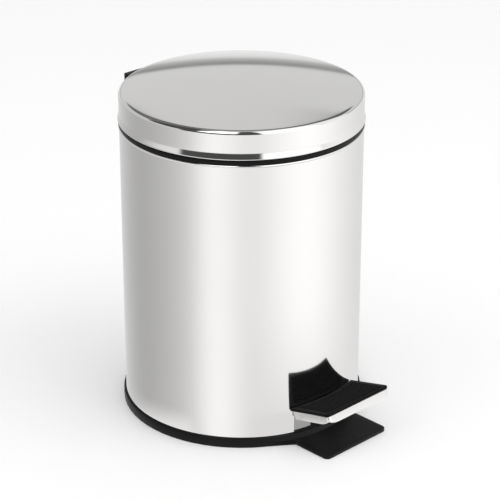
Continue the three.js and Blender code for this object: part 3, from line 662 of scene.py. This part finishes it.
def tray():
    """The plate extruded down, its bottom and rear left open, its folds bevelled, thickened."""
    bm = bmesh.new()
    outline = pedal_outline(TRAY_REAR_HALF, TRAY_FRONT_HALF, TRAY_FRONT, TRAY_CORNER,
                            TRAY_WALL_GAP)
    plate = bm.faces.new([bm.verts.new((x, y, TRAY_TOP)) for x, y in outline])
    hung = bmesh.ops.extrude_face_region(bm, geom=[plate])["geom"]
    for vert in [v for v in hung if isinstance(v, bmesh.types.BMVert)]:
        drop = skirt_depth(vert.co.x, vert.co.y) + TRAY_TOP
        inwards = -vert.co.x / TRAY_FRONT_HALF * drop * math.tan(TRAY_DRAFT)
        bmesh.ops.translate(bm, verts=[vert], vec=(inwards, 0, -drop))
    bottom = [f for f in bm.faces if abs(f.normal.z) > 0.7
              and f.calc_center_median().z < TRAY_TOP - 2 * MM]
    back = [f for f in bm.faces if under_rear_edge(f)]
    bmesh.ops.delete(bm, geom=list(set(bottom + back)), context="FACES")
    bmesh.ops.recalc_face_normals(bm, faces=bm.faces)
    top = max(bm.faces, key=lambda f: f.calc_area())
    if top.normal.z < 0:
        bmesh.ops.reverse_faces(bm, faces=bm.faces)
    folds = [e for e in bm.edges if len(e.link_faces) == 2 and top in e.link_faces]
    bmesh.ops.bevel(bm, geom=folds, offset=FOLD_RADIUS, offset_type="OFFSET", segments=3,
                    profile=0.5, affect="EDGES", clamp_overlap=True, material=-1)
    bmesh.ops.solidify(bm, geom=bm.faces[:], thickness=TRAY_SHEET)
    bmesh.ops.recalc_face_normals(bm, faces=bm.faces)
    bmesh.ops.transform(bm, matrix=on_pad, verts=bm.verts)
    return finish_mesh(bm, "pedal_tray", sharp=50)


place(tray(), "pedal", TRAY_STEEL, "polished_steel", "pedal_plate")

# %% [markdown]
# The pad has rows of small square studs for grip, inside a plain border. The studs are one grid
# sheet whose faces are inset one by one and raised, which is quicker than placing each.

# %% Grip studs
STUD_PITCH = 2.2 * MM
STUD_BORDER = 3.6 * MM
STUD_SLOPE = 0.45 * MM  # how far in each stud's top is set from its foot
STUD_HEIGHT = 0.55 * MM
STUD_SHEET = 0.5 * MM
STUD_LIFT = 0.02 * MM  # keeps the sheet from lying in the same plane as the pad's top
SPARE_ROWS = 3  # at the rear, cut back to follow the can


def grip_sheet():
    """Raised square studs over the pad's top, clear of its border and its hollow rear edge."""
    across = int(2 * (pad_half - STUD_BORDER) / STUD_PITCH)
    along = int((pad_length - 2 * STUD_BORDER) / STUD_PITCH) + SPARE_ROWS
    bm = bmesh.new()
    bmesh.ops.create_grid(bm, x_segments=across, y_segments=along, size=0.5)
    bmesh.ops.scale(bm, verts=bm.verts, vec=(across * STUD_PITCH, along * STUD_PITCH, 1))
    front = -pad_length + STUD_BORDER
    bmesh.ops.translate(bm, verts=bm.verts, vec=(0, front + along * STUD_PITCH / 2, 0))
    keep_out = CAN_RADIUS + STUD_BORDER

    def too_near(face):
        corners = [on_pad @ v.co for v in face.verts]
        return min(c.xy.length for c in corners) < keep_out

    bmesh.ops.delete(bm, geom=[f for f in bm.faces if too_near(f)], context="FACES")
    studs = bm.faces[:]
    bmesh.ops.inset_individual(bm, faces=studs, thickness=STUD_SLOPE, use_even_offset=True)
    tops = {v for f in studs for v in f.verts}
    bmesh.ops.translate(bm, verts=list(tops), vec=(0, 0, STUD_HEIGHT))
    bmesh.ops.translate(bm, verts=bm.verts, vec=(0, 0, STUD_LIFT))
    bmesh.ops.solidify(bm, geom=bm.faces[:], thickness=STUD_SHEET)
    bmesh.ops.recalc_face_normals(bm, faces=bm.faces)
    bmesh.ops.transform(bm, matrix=on_pad, verts=bm.verts)
    return finish_mesh(bm, "pedal_grip_studs", sharp=20)


place(grip_sheet(), "pedal", RUBBER, "black_rubber")

# %% Rubber pad
PAD_CORNER = 2.6 * MM
PAD_WALL_GAP = 0.5 * MM
PAD_EDGE = 0.5 * MM
PAD_BOTTOM = TRAY_TOP + 0.05 * MM


def pad():
    """The pad's slab, which lies on the tray, with its top and bottom edges rounded."""
    bm = bmesh.new()
    outline = pedal_outline(pad_half, pad_half, -pad_length, PAD_CORNER, PAD_WALL_GAP)
    top = bm.faces.new([bm.verts.new((x, y, 0)) for x, y in outline])
    under = bmesh.ops.extrude_face_region(bm, geom=[top])["geom"]
    bmesh.ops.translate(bm, verts=[v for v in under if isinstance(v, bmesh.types.BMVert)],
                        vec=(0, 0, PAD_BOTTOM))
    bmesh.ops.recalc_face_normals(bm, faces=bm.faces)
    rims = [e for e in bm.edges if e.calc_face_angle(0) > math.radians(60)]
    bmesh.ops.bevel(bm, geom=rims, offset=PAD_EDGE, offset_type="OFFSET", segments=3,
                    profile=0.5, affect="EDGES", clamp_overlap=True, material=-1)
    bmesh.ops.transform(bm, matrix=on_pad, verts=bm.verts)
    return finish_mesh(bm, "pedal_pad_fine", sharp=50)


place(pad(), "pedal", RUBBER, "black_rubber", "pedal_pad")

# %% [markdown]
# The camera stands in front and to the left of the pedal and looks down on the lid, from far
# enough for a long lens.

# %% Camera
CAMERA_AZIMUTH = -44.056  # degrees from the front, towards +X
CAMERA_DISTANCE = 1.5  # metres from the can's axis
CAMERA_HEIGHT = 0.8017  # metres
CAMERA_PITCH = 24.046  # degrees down
CAMERA_YAW = 0.26  # degrees to the right
CAMERA_LENS = 140.7  # on a sensor 36 mm wide

lens = bpy.data.cameras.new("camera")
lens.lens = CAMERA_LENS
lens.sensor_width = 36.0
lens.clip_start = 0.05
camera = bpy.data.objects.new("camera", lens)
bpy.context.scene.collection.objects.link(camera)
turn = math.radians(CAMERA_AZIMUTH)
camera.location = (CAMERA_DISTANCE * math.sin(turn), -CAMERA_DISTANCE * math.cos(turn),
                   CAMERA_HEIGHT)
camera.rotation_euler = (math.radians(90 - CAMERA_PITCH), 0, turn - math.radians(CAMERA_YAW))
bpy.context.scene.camera = camera
print("camera at", [round(c, 3) for c in camera.location])

# %% [markdown]
# The studio is a white tent. Polished steel shows its surroundings, so the tent that it
# mirrors is drawn with care, by azimuth from the front of the tent and by elevation: a pale
# floor that is brighter to one side, soft panels overhead, the dark room in front of the tent,
# and the paper sweep behind. Only glossy rays see that drawing. What lights the object is a
# plain even white.

# %% Helpers that draw the tent


def tent_directions(tree):
    """Azimuth in degrees, right of the camera positive, and the sine of elevation."""
    direction = add(tree, "ShaderNodeTexCoord").outputs["Generated"]
    facing = add(tree, "ShaderNodeMapping", Vector=direction,
                 Rotation=(0, 0, math.radians(90 - CAMERA_AZIMUTH)))
    axes = add(tree, "ShaderNodeSeparateXYZ", Vector=facing.outputs["Vector"])
    angle = add(tree, "ShaderNodeMath", {"operation": "ARCTAN2"},
                n0=axes.outputs["Y"], n1=axes.outputs["X"])
    degrees = add(tree, "ShaderNodeMath", {"operation": "DEGREES"}, n0=angle.outputs["Value"])
    return degrees.outputs["Value"], axes.outputs["Z"]


def soft_step(tree, value, centre, width, before=0.0, after=1.0):
    """Turns from before to after round centre, over width."""
    return add(tree, "ShaderNodeMapRange", {"interpolation_type": "SMOOTHSTEP"}, Value=value,
               From_Min=centre - width / 2, From_Max=centre + width / 2,
               To_Min=before, To_Max=after).outputs["Result"]


def panel(tree, under, azimuth, elevation, around, upwards, level, soft):
    """Lays a soft-edged panel of one level over what is under it."""
    mask = soft_step(tree, azimuth, around[0], soft[0])
    for edge in (soft_step(tree, azimuth, around[1], soft[0], before=1.0, after=0.0),
                 soft_step(tree, elevation, upwards[0], soft[1]),
                 soft_step(tree, elevation, upwards[1], soft[1], before=1.0, after=0.0)):
        mask = add(tree, "ShaderNodeMath", {"operation": "MULTIPLY"},
                   n0=mask, n1=edge).outputs["Value"]
    mix = add(tree, "ShaderNodeMix", {"data_type": "FLOAT"}, Factor=mask, A=under, B=level)
    return mix.outputs["Result"]


def set_ramp(ramp, stops):
    """Stops of (position, grey level) on a colour ramp."""
    elements = ramp.color_ramp.elements
    while len(elements) > 1:
        elements.remove(elements[-1])
    for i, (position, level) in enumerate(stops):
        element = elements[0] if i == 0 else elements.new(position)
        element.position = position
        element.color = (level, level, level, 1)


# %% [markdown]
# The floor's brightness by azimuth gives the can its long vertical bands, so it is one ramp
# with a few stops. Above the horizon the paper sweep darkens as it rises. Each panel then adds
# one thing that the lid, the fold or the wall mirrors, over what is drawn before it.

# %% Levels of the tent
FLOOR_BANDS = ((-180, 0.48), (-145, 0.44), (-112, 0.31), (-76, 0.41), (-50, 0.51),
               (-27, 0.88), (0, 0.64), (22, 0.70), (43, 0.82), (68, 0.89), (101, 0.735),
               (148, 0.535), (180, 0.48))
SWEEP_LEVELS = ((0.0, 0.62), (0.02, 0.60), (0.07, 0.56), (0.095, 0.51), (0.12, 0.335),
                (0.145, 0.274), (0.17, 0.194), (1.0, 0.194))
HORIZON = -0.05
HORIZON_SOFT = 0.10
# Softness of a panel's edges: degrees of azimuth, and sine of elevation.
CRISP = (6.0, 0.03)
HAZY = (6.0, 0.08)
ROOF = (24.0, 0.06)
# Each panel: azimuth span, span of the sine of elevation, level, softness of its edges.
PANELS = (
    ((-200, 200), (0.192, 1.2), 0.49, CRISP),  # the tent's walls
    ((98, 166), (0.50, 1.2), 0.10, ROOF),  # dark roof to the right
    ((166, 210), (0.76, 1.2), 0.10, CRISP),  # dark roof behind
    ((-210, -166), (0.76, 1.2), 0.10, CRISP),
    ((-166, -90), (0.44, 1.2), 0.12, (10.0, 0.08)),  # dark roof to the left
    ((-95, -50), (0.25, 1.2), 0.05, CRISP),  # the dark room in front of the tent
    ((-56, 21), (-0.05, 1.2), 0.05, HAZY),
    ((-42, -5), (0.42, 1.2), 1.5, CRISP),  # the soft box's front half
    ((18, 76), (-0.02, 1.2), 1.0, CRISP),  # the tent's bright right wall
    ((76, 110), (-0.02, 1.2), 0.70, CRISP),
    ((-200, 200), (0.95, 1.2), 0.30, ROOF),  # one even tone overhead
    ((5, 150), (-1.2, -0.465), 0.60, (24.0, 0.08)),  # the can's own shade on the floor
    ((-150, -50), (-1.2, -0.53), 0.66, (24.0, 0.10)),  # bright paper close to the can
)
print(len(PANELS), "panels in the tent")

# %% World
MIRROR_STRENGTH = 1.6  # of the tent as the steel sees it
LIGHT_STRENGTH = 0.86  # of the even white that lights the object


def drawn_tent(tree):
    """The tent's grey level in each direction."""
    azimuth, elevation = tent_directions(tree)
    around = add(tree, "ShaderNodeMapRange", Value=azimuth, From_Min=-180, From_Max=180)
    bands = add(tree, "ShaderNodeValToRGB", Fac=around.outputs["Result"])
    bands.color_ramp.interpolation = "B_SPLINE"
    set_ramp(bands, [((a + 180) / 360, level) for a, level in FLOOR_BANDS])
    sweep = add(tree, "ShaderNodeValToRGB", Fac=elevation)
    set_ramp(sweep, SWEEP_LEVELS)
    rise = soft_step(tree, elevation, HORIZON, HORIZON_SOFT)
    tent = add(tree, "ShaderNodeMix", {"data_type": "FLOAT"}, Factor=rise,
               A=bands.outputs["Color"], B=sweep.outputs["Color"]).outputs["Result"]
    for across, upwards, level, soft in PANELS:
        tent = panel(tree, tent, azimuth, elevation, across, upwards, level, soft)
    return tent


def build_world():
    world = bpy.data.worlds.new("tent")
    world.use_nodes = True
    bpy.context.scene.world = world
    tree = world.node_tree
    tree.nodes.clear()
    white = linear("#ffffff")
    mirrored = add(tree, "ShaderNodeBackground", Color=drawn_tent(tree),
                   Strength=MIRROR_STRENGTH)
    light = add(tree, "ShaderNodeBackground", Color=white, Strength=LIGHT_STRENGTH)
    seen = add(tree, "ShaderNodeBackground", Color=white, Strength=1.0)
    rays = add(tree, "ShaderNodeLightPath")
    glossy = add(tree, "ShaderNodeMixShader", Fac=rays.outputs["Is Glossy Ray"],
                 n1=light.outputs["Background"], n2=mirrored.outputs["Background"])
    final = add(tree, "ShaderNodeMixShader", Fac=rays.outputs["Is Camera Ray"],
                n1=glossy.outputs["Shader"], n2=seen.outputs["Background"])
    output = add(tree, "ShaderNodeOutputWorld")
    tree.links.new(final.outputs["Shader"], output.inputs["Surface"])


build_world()

# %% [markdown]
# The floor is white paper. It keeps the object's shadow; a little extra white that only the
# camera sees brings it up to the white of the tent.

# %% Floor
FLOOR_HALF = 6.0  # metres
FLOOR_LIFT = 0.07

bm = bmesh.new()
bmesh.ops.create_grid(bm, x_segments=1, y_segments=1, size=FLOOR_HALF)
floor = finish_mesh(bm, "floor")
paper, tree, shader, _ = new_material("white_paper_sweep")
shader.inputs["Base Color"].default_value = linear("#f8f8f8")
shader.inputs["Roughness"].default_value = 0.9
shader.inputs["Specular IOR Level"].default_value = 0.1
shader.inputs["Emission Color"].default_value = linear("#ffffff")
rays = add(tree, "ShaderNodeLightPath")
lift = add(tree, "ShaderNodeMath", {"operation": "MULTIPLY"},
           n0=rays.outputs["Is Camera Ray"], n1=FLOOR_LIFT)
tree.links.new(lift.outputs["Value"], shader.inputs["Emission Strength"])
floor.data.materials.append(paper)
floor.visible_glossy = False  # the steel mirrors the drawn tent instead
print("floor", 2 * FLOOR_HALF, "m wide")

# %% [markdown]
# Two soft boxes, either side of the camera, add to the tent's even light and give the object a
# soft shadow. The steel doesn't mirror them, because its tent is drawn.

# %% Lamps


def soft_lamp(name, azimuth, elevation, distance, size, power):
    """A square soft box that faces the middle of the object."""
    light = bpy.data.lights.new(name, "AREA")
    light.shape = "SQUARE"
    light.size = size
    light.energy = power
    lamp = bpy.data.objects.new(name, light)
    lamp.visible_glossy = False
    bpy.context.scene.collection.objects.link(lamp)
    a, e = math.radians(azimuth), math.radians(elevation)
    away = Vector((math.sin(a) * math.cos(e), -math.cos(a) * math.cos(e), math.sin(e)))
    middle = (cad_box[0] + cad_box[1]) / 2
    lamp.location = middle + away * distance
    lamp.rotation_euler = (-away).to_track_quat("-Z", "Y").to_euler()
    print(name, "lamp at", [round(c, 2) for c in lamp.location])


soft_lamp("key", CAMERA_AZIMUTH + 60, elevation=55, distance=1.6, size=1.0, power=5.0)
soft_lamp("fill", CAMERA_AZIMUTH - 70, elevation=45, distance=1.8, size=1.2, power=3.0)

# %% [markdown]
# The Standard view transform shows each colour about as it is written.

# %% View transform
bpy.context.scene.view_settings.view_transform = "Standard"
